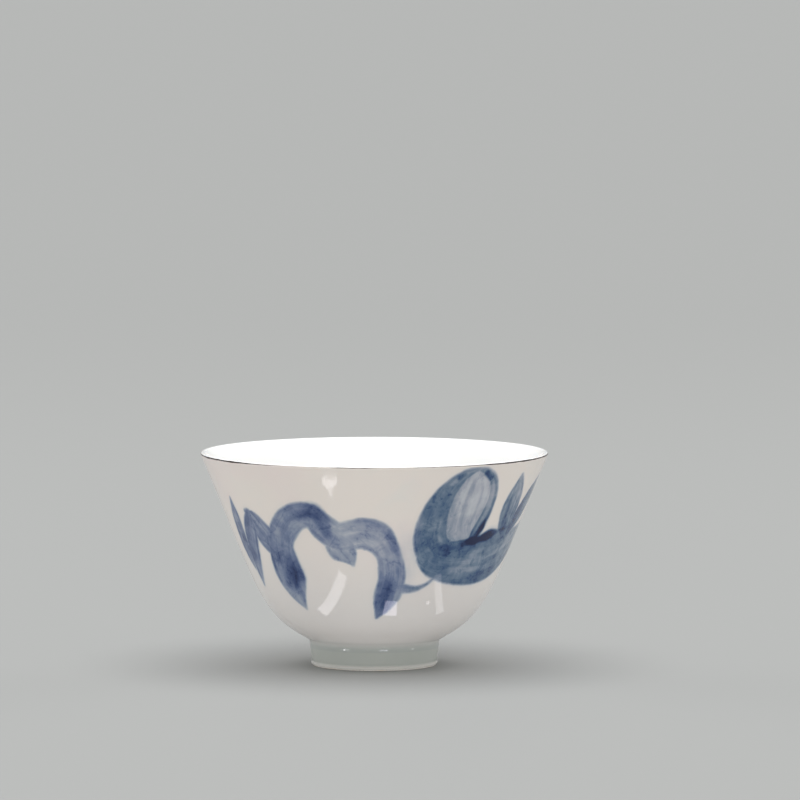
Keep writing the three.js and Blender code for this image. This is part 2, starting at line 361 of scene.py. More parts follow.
        (138.8, 26.4, 0.3, 0.7), (140.2, 28.0, 0.8, 1.3), (141.4, 29.8, 0.7, 1.2), (142.4, 31.8, 0.2, 0.5)]),
    # a leaf to the left of it
    (WASH_C, [
        (99.0, 42.6, 0.4, 0.7), (97.4, 38.6, 1.8, 0.95), (96.2, 34.4, 2.3, 1.05), (96.2, 30.2, 2.2, 1.05),
        (97.4, 26.2, 1.6, 1.0), (99.6, 22.6, 0.5, 0.8)]),
    # the second bud and the leaf that it rests on
    (WASH_A, [
        (211.4, 50.2, 0.5, 0.7), (207.0, 49.2, 1.3, 0.8), (202.6, 46.4, 2.2, 0.86), (199.6, 42.4, 3.0, 0.92),
        (198.4, 38.0, 3.7, 0.98), (199.2, 33.8, 4.2, 1.0), (202.6, 30.6, 4.4, 0.98), (208.4, 29.0, 4.0, 0.92),
        (214.0, 29.0, 2.8, 0.88)]),
    (WASH_B, [
        (209.6, 50.2, 0.4, 0.7), (214.6, 49.0, 1.0, 0.75), (218.6, 46.4, 1.3, 0.7), (220.4, 42.8, 1.5, 0.66),
        (220.2, 39.0, 1.7, 0.72), (218.8, 35.8, 1.9, 0.9), (217.0, 33.4, 1.6, 1.1), (215.6, 31.8, 0.9, 1.1)]),
    (WASH_C, [
        (211.6, 48.0, 2.8, 0.44), (211.4, 46.0, 4.4, 0.44), (210.8, 43.0, 5.4, 0.42),
        (210.2, 39.4, 6.0, 0.42), (210.2, 36.2, 5.4, 0.44), (211.2, 33.8, 4.2, 0.46)]),
    (SOFT_A, [
        (210.8, 47.0, 0.7, 0.1), (208.8, 43.4, 0.9, 0.2), (208.0, 39.6, 0.9, 0.2), (208.6, 35.8, 0.6, 0.1)]),
    (SOFT_A, [
        (213.4, 46.6, 0.7, 0.1), (214.6, 43.2, 0.9, 0.2), (214.2, 39.4, 0.8, 0.18), (213.2, 36.2, 0.6, 0.1)]),
    (SOFT_A, [
        (203.6, 45.6, 1.6, 0.2), (199.0, 40.6, 2.6, 0.3), (198.4, 35.6, 3.2, 0.38), (202.0, 31.8, 3.2, 0.42),
        (210.0, 30.4, 2.8, 0.48), (220.0, 31.4, 2.4, 0.48), (230.0, 33.0, 1.8, 0.3)]),
    (SOFT_B, [
        (207.0, 47.4, 1.4, 0.15), (203.6, 43.0, 2.4, 0.3), (202.4, 38.4, 3.0, 0.38),
        (205.4, 34.0, 2.6, 0.34)]),
    (WASH_B, [
        (198.8, 31.6, 1.8, 0.85), (201.6, 29.8, 3.4, 0.9), (207.0, 28.2, 4.6, 0.96), (214.6, 27.4, 5.4, 0.95),
        (223.6, 27.6, 5.7, 0.92), (232.4, 29.2, 5.0, 0.94), (240.2, 32.0, 3.6, 0.94),
        (246.0, 35.0, 1.9, 0.88), (249.4, 37.4, 0.5, 0.75)]),
    (SOFT_A, [
        (206.0, 26.8, 0.8, 0.2), (216.0, 25.8, 1.2, 0.3), (228.0, 27.0, 1.1, 0.28), (240.0, 31.4, 0.7, 0.2)]),
    (SOFT_B, [
        (203.0, 25.6, 1.2, 0.2), (212.0, 23.6, 1.9, 0.46), (224.0, 23.4, 1.9, 0.46),
        (236.0, 27.0, 1.2, 0.2)]),
    (TOUCH, [
        (209.0, 31.8, 0.3, 0.5), (213.4, 32.2, 0.8, 1.0), (217.0, 32.8, 0.9, 1.3), (220.4, 33.4, 1.1, 1.7),
        (223.8, 33.8, 1.0, 1.6), (228.0, 34.4, 0.5, 1.1), (232.6, 35.2, 0.2, 0.5)]),
    (TOUCH, [(218.6, 34.0, 0.6, 0.9), (219.6, 35.4, 0.8, 1.2), (220.4, 36.8, 0.3, 0.7)]),
    (WASH_C, [
        (231.6, 33.2, 1.2, 1.15), (231.0, 36.6, 3.0, 1.15), (232.0, 40.4, 3.4, 1.0), (233.4, 44.0, 2.4, 0.9),
        (234.4, 47.6, 0.4, 0.75)]),
    (SOFT_B, [(230.6, 35.0, 1.6, 0.7), (229.4, 38.6, 1.6, 0.6), (230.0, 42.0, 1.1, 0.25)]),
    # a sprig of three leaves, before the leaves at the front
    (WASH_C, [
        (252.4, 17.4, 0.5, 0.6), (256.0, 19.4, 1.0, 0.78), (259.8, 22.4, 1.2, 0.85), (262.6, 26.4, 1.3, 0.9),
        (264.2, 30.4, 1.1, 0.9)]),
    (WASH_A, [
        (263.0, 26.0, 0.9, 0.9), (260.0, 29.4, 2.5, 0.98), (257.6, 34.0, 3.3, 1.0), (257.0, 38.8, 2.7, 0.95),
        (257.8, 43.4, 0.5, 0.8)]),
    (WASH_B, [
        (264.0, 28.6, 1.0, 1.0), (267.0, 32.6, 2.6, 1.05), (269.6, 37.2, 3.1, 1.0), (271.0, 41.8, 2.2, 0.9),
        (271.6, 46.0, 0.4, 0.8)]),
    (WASH_A, [
        (261.4, 23.2, 0.9, 0.9), (265.4, 22.6, 2.1, 0.95), (269.6, 23.6, 2.6, 0.95), (273.4, 26.4, 1.9, 0.9),
        (276.0, 29.8, 0.4, 0.75)]),
    (SOFT_A, [(261.6, 28.0, 1.0, 0.3), (258.8, 33.0, 1.6, 0.5), (257.6, 38.0, 1.2, 0.2)]),
    (SOFT_A, [(265.0, 31.0, 1.0, 0.3), (268.4, 35.6, 1.6, 0.45), (270.4, 40.4, 1.0, 0.2)]),
    (TOUCH, [
        (262.6, 26.8, 0.4, 0.8), (263.8, 28.8, 0.8, 1.3), (264.8, 30.8, 0.6, 1.1), (265.6, 32.6, 0.2, 0.5)]),
]
# The brush was dipped in a greener mix for the buds and their leaves: (degrees from the front, its share).
GREENER = [(0, 0), (13, 0), (19, 1), (90, 1), (96, 0), (190, 0), (196, 1), (250, 1), (256, 0), (360, 0)]

SPAN_STEPS = 40  # steps in which the line between two of a stroke's points is drawn
STROKE_STEP = 0.2  # between the points that a vertex is measured against
THINNEST = 0.15  # least half width
REACH_WIDTHS = 1.8  # a stroke is measured this many half widths out from its middle line, ...
REACH_MORE = 1.0  # ... and this much further
RUN_APART = 70.0  # between one stroke's run and the next one's, so that no two share their hair marks
FAR = 6.0  # the distance given to a vertex that no stroke comes near
BATCH = 2000  # vertices measured at a time


def through(points):
    """A smooth line through the points (Catmull-Rom)."""
    p = np.array(points, float)
    p = np.vstack([2 * p[0] - p[1], p, 2 * p[-1] - p[-2]])
    t = np.linspace(0, 1, SPAN_STEPS, endpoint=False)[:, None]
    spans = []
    for a, b, c, d in zip(p, p[1:], p[2:], p[3:]):
        bend = 2 * a - 5 * b + 4 * c - d
        twist = 3 * b - a - 3 * c + d
        spans.append(0.5 * (2 * b + (c - a) * t + bend * t**2 + twist * t**3))
    return np.vstack(spans + [p[-2:-1]])


def unit(rows):
    """Each row as a direction of length 1."""
    return rows / np.linalg.norm(rows, axis=1)[:, None]


def stroke_line(controls):
    """A stroke as (place, tangent, sideways direction, distance run, half width, load) at each step."""
    line = through(controls)
    place = ring_point(np.radians(line[:, 0]), wall_radius(line[:, 1]), line[:, 1])
    run = np.concatenate([[0], np.cumsum(np.linalg.norm(np.diff(place, axis=0), axis=1))])
    even = spaced(np.column_stack([run, line[:, 2:], place]), int(run[-1] / STROKE_STEP) + 1)
    run, half, load = even[:, 0], even[:, 1], even[:, 2]
    place = even[:, 3:]
    tangent = unit(np.gradient(place, axis=0))
    outward = unit(place * [1, 1, 0])
    side = unit(np.cross(outward, tangent))
    return place, tangent, side, run, np.maximum(half, THINNEST), np.maximum(load, 0)


def paint(points):
    """For each layer and vertex: (run, side, edge, load). Run is the distance along the stroke and side the
    distance across it. Edge is the distance outside its edge, or in a soft layer the share of the way there
    from the middle."""
    out = np.zeros((LAYERS, len(points), 4))
    out[:, :, 1:3] = FAR
    for number, (layer, controls) in enumerate(STROKES):
        place, tangent, side, run, half, load = stroke_line(controls)
        margin = half.max() * REACH_WIDTHS + REACH_MORE
        inside = (points > place.min(0) - margin) & (points < place.max(0) + margin)
        near = np.flatnonzero(inside.all(1))
        for part in np.array_split(near, max(1, len(near) // BATCH)):
            gap = points[part][:, None, :] - place[None]
            nearest = (gap**2).sum(2).argmin(1)
            away = gap[np.arange(len(part)), nearest]
            ahead = (away * tangent[nearest]).sum(1)
            across = (away * side[nearest]).sum(1)
            before = (nearest == 0) & (ahead < 0)
            beyond = (nearest == len(place) - 1) & (ahead > 0)
            reach = np.where(before | beyond, np.hypot(across, ahead), np.abs(across))
            edge = reach / half[nearest] if layer in SOFT_LAYERS else reach - half[nearest]
            along = run[nearest] + ahead + RUN_APART * number
            found = np.column_stack([along, across, edge, load[nearest]])
            better = edge < out[layer, part, 2]
            out[layer, part[better]] = found[better]
    return out


# ---------------------------------------------------------------- node helpers


class Nodes:
    """Adds and links shader nodes with less typing."""

    def __init__(self, tree):
        self.tree = tree

    def add(self, kind, **inputs):
        node = self.tree.nodes.new(kind)
        self.fill(node, inputs)
        return node

    def fill(self, node, inputs):
        """Sets or links a node's inputs, each by its name or, after an underscore, by its number."""
        for key, value in inputs.items():
            socket = node.inputs[int(key[1:]) if key[0] == "_" else key.replace("_", " ")]
            if isinstance(value, bpy.types.NodeSocket):
                self.tree.links.new(value, socket)
            else:
                socket.default_value = value

    def math(self, operation, a, b=0.0, c=0.0):
        node = self.add("ShaderNodeMath", _0=a, _1=b, _2=c)
        node.operation = operation
        return node.outputs[0]

    def product(self, first, *others):
        """All the values multiplied together."""
        for other in others:
            first = self.math("MULTIPLY", first, other)
        return first

    def ramp(self, value, low, high, to_low=0.0, to_high=1.0):
        """Value's range from low to high, eased into the range from to_low to to_high and held there."""
        node = self.add("ShaderNodeMapRange", _0=value, _1=low, _2=high, _3=to_low, _4=to_high)
        node.interpolation_type = "SMOOTHSTEP"
        return node.outputs[0]

    def noise(self, where, scale, detail=2.0, roughness=0.5, distortion=0.0):
        node = self.add("ShaderNodeTexNoise", Vector=where, Scale=scale, Detail=detail, Roughness=roughness,
                        Distortion=distortion)
        return node.outputs["Fac"]

    def mix(self, share, a, b, blend="MIX"):
        node = self.tree.nodes.new("ShaderNodeMix")
        node.data_type = "RGBA"
        node.blend_type = blend
        self.fill(node, {"_0": share, "_6": a, "_7": b})
        return node.outputs[2]

    def combine(self, x, y, z=0.0):
        return self.add("ShaderNodeCombineXYZ", X=x, Y=y, Z=z).outputs[0]

    def stored(self, name):
        """A value that is stored on the mesh under this name."""
        node = self.tree.nodes.new("ShaderNodeAttribute")
        node.attribute_name = name
        return node.outputs

    def place(self):
        """The point on the object in metres, and its height above the table."""
        where = self.add("ShaderNodeTexCoord").outputs["Object"]
        return where, self.add("ShaderNodeSeparateXYZ", Vector=where).outputs["Z"]


def rgb(r, g, b):
    return (r, g, b, 1.0)


def new_material(name, **finish):
    """A material with one Principled shader, the helper for its nodes, and the shader."""
    material = bpy.data.materials.new(name)
    material.use_nodes = True
    nodes = Nodes(material.node_tree)
    shader = material.node_tree.nodes["Principled BSDF"]
    nodes.fill(shader, finish)
    return material, nodes, shader


def surface(name, colour_at, relief_at, strength, depth, **finish):
    """A material whose colour and relief come from the place on the object. Depth is in metres."""
    material, nodes, shader = new_material(name, **finish)
    where, height = nodes.place()
    bump = nodes.add("ShaderNodeBump", Strength=strength, Distance=depth, Height=relief_at(nodes, where))
    nodes.fill(shader, {"Base_Color": colour_at(nodes, where, height), "Normal": bump.outputs[0]})
    return material


# ---------------------------------------------------------------- cobalt pigment

# How a stroke shows across its edge: (edge where it starts, edge where it is full). Edge is as in paint.
HARD_EDGE = (0.42, -0.58)
SOFT_EDGE = (1.15, 0.10)
POOLED_EDGE = (-1.6, -0.5)
BLEED_EDGE = (1.5, 0.1)
POOLED = 0.16
BLEED = 0.08
EDGE_WANDER = 0.5  # how far an edge wanders in all, in the same measure
WASHES_MERGE = 0.12  # how softly two washes run into each other


def brush_layer_group(soft):
    """Turns one layer's stored stroke data into a density of pigment. A soft layer fades to its sides."""
    group = bpy.data.node_groups.new("soft_wash" if soft else "brush_stroke", "ShaderNodeTree")
    for name, kind in (("Stroke", "NodeSocketColor"), ("Load", "NodeSocketFloat")):
        group.interface.new_socket(name, in_out="INPUT", socket_type=kind)
    group.interface.new_socket("Density", in_out="OUTPUT", socket_type="NodeSocketFloat")
    n = Nodes(group)
    given = group.nodes.new("NodeGroupInput")
    run, side, edge = n.add("ShaderNodeSeparateColor", Color=given.outputs["Stroke"]).outputs
    where, _ = n.place()

    # a hand-drawn edge wanders a little
    wander = n.math("MULTIPLY_ADD", n.noise(where, 330.0, detail=3.0), EDGE_WANDER, -EDGE_WANDER / 2)
    edge = n.math("ADD", edge, wander)
    body = n.ramp(edge, *(SOFT_EDGE if soft else HARD_EDGE))

    # hair marks run along the stroke, broad ones and fine ones
    broad_at = n.combine(n.product(run, 0.07), n.product(side, 0.55))
    fine_at = n.combine(n.product(run, 0.12), n.product(side, 1.8), 3.7)
    broad = n.ramp(n.noise(broad_at, 1.0, distortion=0.3), 0.30, 0.70, 0.82, 1.18)
    fine = n.ramp(n.noise(fine_at, 1.0, 3.0, 0.6, 0.2), 0.30, 0.70, 0.92, 1.08)

    # the wash is cloudy, mottled and blotted
    mottle = n.ramp(n.noise(where, 420.0, 3.0, 0.6, 0.5), 0.30, 0.70, 0.86, 1.14)
    cloud = n.ramp(n.noise(where, 130.0, distortion=0.3), 0.35, 0.65, 0.82, 1.18)
    blots = n.ramp(n.noise(where, 240.0, 4.0, 0.65, 0.6), 0.54, 0.62, 0.95, 1.20)
    wash = n.product(broad, fine, mottle, cloud, blots)

    if soft:
        strength = n.product(body, wash)
    else:
        # pigment gathers in a narrow band inside the edge, and bleeds a little way outside it
        pooled = n.product(n.ramp(edge, *POOLED_EDGE), POOLED)
        bleed = n.product(n.ramp(edge, *BLEED_EDGE), BLEED)
        strength = n.math("MULTIPLY_ADD", body, n.math("ADD", wash, pooled), bleed)
    result = group.nodes.new("NodeGroupOutput")
    group.links.new(n.product(strength, given.outputs["Load"]), result.inputs["Density"])
    return group


def pigment_density(nodes, where):
    """The washes merged where they meet, the touches and soft strokes on top, and darker grains in them."""
    groups = {soft: brush_layer_group(soft) for soft in (False, True)}
    washes = added = 0.0
    for layer in range(LAYERS):
        stroke = nodes.stored(f"brush_{layer}")
        use = nodes.tree.nodes.new("ShaderNodeGroup")
        use.node_tree = groups[layer in SOFT_LAYERS]
        nodes.fill(use, {"Stroke": stroke["Color"], "Load": stroke["Alpha"]})
        if layer in WASHES:
            washes = nodes.math("SMOOTH_MAX", washes, use.outputs[0], WASHES_MERGE)
        else:
            added = nodes.math("ADD", added, use.outputs[0])
    total = nodes.math("ADD", washes, added)
    grains = nodes.ramp(nodes.noise(where, 1300.0), 0.52, 0.72)
    thick = nodes.ramp(total, 0.9, 2.0)
    return nodes.math("ADD", total, nodes.product(grains, thick, 0.5))


# What a density of cobalt leaves of the white light under it, for the plain mix and for the greener one.
COBALT_STEPS = [
    (0.0, (1.0, 1.0, 1.0), (1.0, 1.0, 1.0)),
    (0.3, (0.61, 0.69, 0.80), (0.635, 0.715, 0.83)),
    (0.6, (0.39, 0.475, 0.62), (0.41, 0.485, 0.62)),
    (1.0, (0.205, 0.28, 0.465), (0.199, 0.294, 0.435)),
    (1.4, (0.11, 0.17, 0.35), (0.097, 0.182, 0.33)),
    (1.9, (0.045, 0.088, 0.245), (0.034, 0.09, 0.245)),
    (2.5, (0.018, 0.042, 0.15), (0.014, 0.042, 0.15)),
    (3.2, (0.005, 0.015, 0.085), (0.005, 0.015, 0.085)),
]
FULL_DENSITY = COBALT_STEPS[-1][0]


def cobalt(nodes, density, greener):
    """The pigment's colour, at a density and with a share of the greener mix."""
    share = nodes.math("DIVIDE", density, FULL_DENSITY)
    mixes = []
    for column in (1, 2):
        ramp = nodes.add("ShaderNodeValToRGB", Fac=share)
        steps = ramp.color_ramp.elements
        while len(steps) < len(COBALT_STEPS):
            steps.new(1.0)
        for step, row in zip(steps, COBALT_STEPS):
            step.position = row[0] / FULL_DENSITY
            step.color = rgb(*row[column])
        mixes.append(ramp.outputs["Color"])
    return nodes.mix(greener, *mixes)


# ---------------------------------------------------------------- glazes and bare clay

PORCELAIN = rgb(0.70, 0.64, 0.585)
PORCELAIN_PINK = rgb(0.705, 0.625, 0.585)
PORCELAIN_COOL = rgb(0.66, 0.635, 0.59)
# painted shade: the porcelain, darker and cooler, low down on the wall
PORCELAIN_SHADED_LOW = rgb(0.64, 0.605, 0.575)
# grey of glaze pooled at the foot, made darker by painted shade
FOOT_SHADED_GREY = rgb(0.355, 0.37, 0.345)
# painted light and shade inside: lit white under the lip, shaded darker lower down
INSIDE_LIT_HIGH = rgb(0.93, 0.93, 0.925)
INSIDE_SHADED_LOW = rgb(0.71, 0.70, 0.685)
INSIDE_CLOUD = rgb(0.69, 0.69, 0.685)
INSIDE_DEEP_SHADED = rgb(0.56, 0.575, 0.555)
CLAY = rgb(0.66, 0.64, 0.60)
CLAY_TOASTED = rgb(0.58, 0.51, 0.43)
KILN_SAND = rgb(0.22, 0.17, 0.13)
IRON = rgb(0.035, 0.022, 0.022)
IRON_THIN = rgb(0.13, 0.09, 0.08)

# The heights in metres between which one colour turns into the next.
# painted shade: from the first height down to the second the wall turns darker and cooler
SHADES_LOW_DOWN = (40.0 * MM, 14.0 * MM)
# pooled glaze and painted shade: the foot turns grey below this band
POOLS_AND_SHADES_AT_FOOT = (7.6 * MM, 5.0 * MM)
# painted highlight: the bead lighter here, where its glaze also thins
BEAD_THIN_AND_LIT = (1.5 * MM, 0.9 * MM)
# painted shade deep inside, with the faint green of deep glaze, and painted light under the lip
SHADES_AND_GREENS_DEEP = (16.0 * MM, FLOOR_TOP * MM)
LIT_UNDER_LIP_INSIDE = (26.0 * MM, 44.0 * MM)

GLAZE_FINISH = dict(Roughness=0.06, IOR=1.5)
TRANSLUCENT = dict(Subsurface_Weight=0.2, Subsurface_Radius=(1.0, 0.88, 0.78), Subsurface_Scale=0.0007)


def porcelain_colour(nodes, where, height):
    """Warm white with faint pink and cool clouds; darker and cooler low down and grey at the foot as painted
    shade, where glaze also pools; a painted highlight on the bead.
    """
    pink = nodes.ramp(nodes.noise(where, 48.0), 0.45, 0.70, 0.0, 0.9)
    cool = nodes.ramp(nodes.noise(where, 75.0, detail=3.0, distortion=0.3), 0.52, 0.75, 0.0, 0.8)
    colour = nodes.mix(pink, PORCELAIN, PORCELAIN_PINK)
    colour = nodes.mix(cool, colour, PORCELAIN_COOL)
    # painted shade: darker and cooler low down
    colour = nodes.mix(nodes.ramp(height, *SHADES_LOW_DOWN), colour, PORCELAIN_SHADED_LOW)
    # grey at the foot: pooled glaze, darkened further as painted shade
    colour = nodes.mix(nodes.ramp(height, *POOLS_AND_SHADES_AT_FOOT), colour, FOOT_SHADED_GREY)
    # painted highlight on the bead, where the glaze also thins
    bead = nodes.ramp(height, *BEAD_THIN_AND_LIT, 0.0, 0.45)
    return nodes.mix(bead, colour, PORCELAIN_SHADED_LOW)


def painted_colour(nodes, where, height):
    """The same porcelain seen through the brushwork."""
    pigment = cobalt(nodes, pigment_density(nodes, where), nodes.stored("greener")["Fac"])
    return nodes.mix(1.0, porcelain_colour(nodes, where, height), pigment, "MULTIPLY")


def inside_colour(nodes, where, height):
    """Painted light and shade: brilliant white under the lip, darker lower down, darkest and faintly green
    where the glaze lies deep.
    """
    clouds = nodes.ramp(nodes.noise(where, 60.0, detail=3.0), 0.4, 0.7, 0.0, 0.6)
    colour = nodes.mix(clouds, INSIDE_SHADED_LOW, INSIDE_CLOUD)
    # painted shade deep inside, faintly green where the glaze lies deep
    colour = nodes.mix(nodes.ramp(height, *SHADES_AND_GREENS_DEEP), colour, INSIDE_DEEP_SHADED)
    # painted light: white under the lip
    return nodes.mix(nodes.ramp(height, *LIT_UNDER_LIP_INSIDE), colour, INSIDE_LIT_HIGH)


def clay_colour(nodes, where, height):
    """Fired clay with no glaze, slightly toasted, with grains of kiln sand."""
    toast = nodes.ramp(nodes.noise(where, 260.0, 3.0, 0.6), 0.40, 0.70, 0.0, 0.7)
    sand = nodes.ramp(nodes.noise(where, 2600.0, detail=1.0), 0.66, 0.74)
    return nodes.mix(sand, nodes.mix(toast, CLAY, CLAY_TOASTED), KILN_SAND)


def iron_colour(nodes, where, height):
    """Dark where the wash lies thick, rubbed through to a warm tan where it is thin."""
    thin = nodes.ramp(nodes.noise(where, 420.0, 4.0, 0.65), 0.50, 0.72)
    return nodes.mix(thin, IRON, IRON_THIN)


def dipped_relief(nodes, where):
    """The faint unevenness of a dipped glaze: slow ripples and a fine grain."""
    slow = nodes.noise(where, 170.0, roughness=0.45)
    fine = nodes.noise(where, 900.0)
    return nodes.math("ADD", slow, nodes.product(fine, 0.08))


def clay_relief(nodes, where):
    """The grain of fired clay."""
    return nodes.noise(where, 5200.0, 3.0, 0.6)


def glaze(name, colour_at, **more):
    """A glossy dipped coat."""
    return surface(name, colour_at, dipped_relief, strength=0.35, depth=0.00006, **GLAZE_FINISH, **more)


def bare_clay(name):
    """Clay that the glaze was wiped off."""
    return surface(name, clay_colour, clay_relief, strength=0.6, depth=0.00004, Roughness=0.75, IOR=1.45)


# ---------------------------------------------------------------- bowl

BOWL_COLUMNS = 512
FOOT_STUB_ROWS = 2
FILLET_ROWS = 8
OUTER_ROWS = 118
LIP_ROWS = 10
INNER_ROWS = 34
WHITE_LIP_ROWS = 3  # the white glaze starts this many rows up the lip
UNDERSIDE_FLAT_RADIUS = 11.6
UNDERSIDE_SEAM_RADIUS = 12.7
PAINTED, WHITE = 0, 1

underside = [(0, RECESS_CEILING + GLAZE), (UNDERSIDE_FLAT_RADIUS, RECESS_CEILING + GLAZE),
             (UNDERSIDE_SEAM_RADIUS, SEAM_HEIGHT)]
foot_stub = spaced([(foot_radius(SEAM_HEIGHT), SEAM_HEIGHT), FOOT_OUTSIDE[1]], FOOT_STUB_ROWS)
fillet_rows = spaced(fillet_curve, FILLET_ROWS)[1:]
outer_rows = np.vstack([foot_stub, fillet_rows, spaced(outer_curve, OUTER_ROWS)[1:]])
lip_angles = np.linspace(-WALL_LEAN, math.pi - WALL_LEAN, LIP_ROWS + 1)[1:]
lip_rows = on_circle(LIP_CENTRE, lip_angles, LIP_RADIUS)
inner_rows = spaced(inner_curve, INNER_ROWS)[::-1][1:]
floor_rows = [(FLOOR_FLAT_RADIUS / 2, FLOOR_TOP), (0, FLOOR_TOP)]
bowl_profile = np.vstack([underside, outer_rows, lip_rows, inner_rows, floor_rows])

first_outer = len(underside)
first_white = first_outer + len(outer_rows) - 1 + WHITE_LIP_ROWS
bowl_rings = turned(bowl_profile, BOWL_COLUMNS)
bowl = skin("bowl", bowl_rings, sharp=(first_outer - 2, first_outer - 1, first_outer),
            slots=[WHITE if row >= first_white else PAINTED for row in range(len(bowl_profile) - 1)])
bowl.data.materials.append(glaze("painted_glaze", painted_colour, **TRANSLUCENT))
bowl.data.materials.append(glaze("white_glaze", inside_colour, **TRANSLUCENT))

# The strokes are stored on the outer face only.
bowl_points = np.concatenate(bowl_rings)
outer_start = sum(len(ring) for ring in bowl_rings[:first_outer])
outer_points = slice(outer_start, outer_start + len(outer_rows) * BOWL_COLUMNS)
stroke_data = np.zeros((LAYERS, len(bowl_points), 4), np.float32)
stroke_data[:, :, 1:3] = FAR
stroke_data[:, outer_points] = paint(bowl_points[outer_points])
for layer in range(LAYERS):
    stored = bowl.data.attributes.new(f"brush_{layer}", "FLOAT_COLOR", "POINT")
    stored.data.foreach_set("color", stroke_data[layer].ravel())

degrees = np.degrees(np.arctan2(bowl_points[:, 0], -bowl_points[:, 1])) % 360
stored = bowl.data.attributes.new("greener", "FLOAT", "POINT")
stored.data.foreach_set("value", np.interp(degrees, *zip(*GREENER)).astype(np.float32))

# ---------------------------------------------------------------- foot, standing ring and recess

FOOT_COLUMNS = 360
FOOT_WALL_ROWS = 14
RECESS_COLUMNS = 240
RECESS_CORNER_ROWS = 8

# The glaze on the foot ends in a rounded bead, which stands a little proud of the wall above it, and in a
# smaller one inside the ring.
BEAD = 0.42  # its radius
BEAD_HEIGHT = 0.72
BEAD_PROUD = 0.16
BEAD_TOP = 46  # degrees up its round, where its shoulder starts
BEAD_ROWS = 12
SHOULDER_HANDLE = (-0.13, 0.14)  # how the shoulder leaves the bead's top
SHOULDER_TOP = 1.75  # the height at which it meets the wall
SHOULDER_ROWS = 6
WALL_START = 1.95
INNER_BEAD = 0.25
INNER_BEAD_HEIGHT = 0.55
INNER_BEAD_ROWS = 6

bead_centre = (foot_radius(BEAD_HEIGHT) + BEAD_PROUD - BEAD, BEAD_HEIGHT)
bead = on_circle(bead_centre, np.radians(np.linspace(-90, BEAD_TOP, BEAD_ROWS + 1)), BEAD)
shoulder_end = (foot_radius(SHOULDER_TOP), SHOULDER_TOP)
shoulder = bezier([bead[-1], bead[-1] + SHOULDER_HANDLE, shoulder_end], SHOULDER_ROWS)[1:]
inner_bead_centre = (RECESS_EDGE_RADIUS + GLAZE + INNER_BEAD, INNER_BEAD_HEIGHT)
inner_bead_angles = np.radians(np.linspace(180, 270, INNER_BEAD_ROWS + 1))
inner_bead = on_circle(inner_bead_centre, inner_bead_angles, INNER_BEAD)
foot_wall = spaced(
    [(foot_radius(WALL_START), WALL_START), (foot_radius(SEAM_HEIGHT), SEAM_HEIGHT)], FOOT_WALL_ROWS)
foot_profile = np.vstack([
    inner_bead, bead, shoulder, foot_wall, [(RECESS_CORNER_RADIUS + GLAZE, SEAM_HEIGHT)]])
foot = skin("foot", turned(foot_profile, FOOT_COLUMNS), closed=True,
            sharp=(len(foot_profile) - 2, len(foot_profile) - 1))
foot.data.materials.append(glaze("plain_glaze", porcelain_colour, **TRANSLUCENT))

STAND_OUT = 15.12
STAND_IN = 13.2
STAND_TOP = 0.62
STAND_EDGE = 0.28  # how far its lower edges are worn round
WORN = (0.08, 0.10)  # (in from the side, up from the table) halfway round a worn edge
stand_profile = [
    (STAND_IN + STAND_EDGE, 0.0), (STAND_OUT - STAND_EDGE, 0.0), (STAND_OUT - WORN[0], WORN[1]),
    (STAND_OUT, STAND_EDGE), (STAND_OUT, STAND_TOP),
    (STAND_IN, STAND_TOP), (STAND_IN, STAND_EDGE), (STAND_IN + WORN[0], WORN[1])]
standing_ring = skin("standing_ring", turned(stand_profile, FOOT_COLUMNS, uneven=False), closed=True,
                     sharp=(4, 5))
standing_ring.data.materials.append(bare_clay("bare_porcelain"))

RECESS_FLAT_RADIUS = 6.0
RECESS_BACK_RADIUS = 12.4
recess_corner = bezier([
    (RECESS_CORNER_RADIUS - RECESS_CORNER, RECESS_CEILING),
    (RECESS_CORNER_RADIUS, RECESS_CEILING),
    (RECESS_CORNER_RADIUS, RECESS_CEILING - RECESS_CORNER)], RECESS_CORNER_ROWS)
recess_profile = [
    (0, RECESS_CEILING), (RECESS_FLAT_RADIUS, RECESS_CEILING), *recess_corner,
    (RECESS_EDGE_RADIUS, GLAZE_STOPS), (RECESS_EDGE_RADIUS + GLAZE, GLAZE_STOPS),
    (RECESS_CORNER_RADIUS + GLAZE, RECESS_CEILING - RECESS_CORNER),
    (RECESS_BACK_RADIUS, RECESS_CEILING + GLAZE), (0, RECESS_CEILING + GLAZE)]
recess_glaze = skin("recess_glaze", turned(recess_profile, RECESS_COLUMNS))
recess_glaze.data.materials.append(glaze("plain_glaze", porcelain_colour, **TRANSLUCENT))

# ---------------------------------------------------------------- brown line on the lip

# It lies along the lip's outer edge like a thread, full in places and nearly worn away in others:
# (degrees from the front, share of its full width).
LINE_STRENGTH = [
    (-180, 0.8), (-163, 0.3), (-150, 0.9), (-122, 1.0), (-104, 0.5), (-92, 1.0), (-52, 1.0), (-42, 0.5),
    (-35, 0.2), (-30, 0.05), (-15, 0.05), (-12, 0.42), (-3, 0.4), (1, 0.1), (10, 0.08), (14, 0.3),
    (27, 0.36), (36, 0.36), (44, 0.75), (52, 1.0), (82, 1.0), (98, 0.8), (108, 0.2), (118, 0.7),
    (136, 1.0), (152, 0.9), (166, 0.3), (180, 0.8)]
LINE_COLUMNS = 1200
LINE_ROWS = 6
LINE_PROUD = 0.022
LINE_EDGE_PROUD = 0.2  # share of that at its two edges
LINE_DEPTH = 0.06  # how far its back lies inside the lip
LINE_SWELL = 0.35  # share by which its width swells and shrinks
# in degrees up the lip's round, from its outermost point
LINE_MIDDLE = 20
LINE_WANDER = 4
LINE_HALF = 18
LINE_THINNEST = 0.6


def slow_noise(waves):
    """A value from -1 to 1 at each of the line's columns, made of this many waves round the cup each."""
    out = np.zeros(LINE_COLUMNS)
    for wave in waves:
        out += np.cos(wave * angles_round(LINE_COLUMNS) + rng.uniform(0, 2 * math.pi)) / len(waves)
    return out


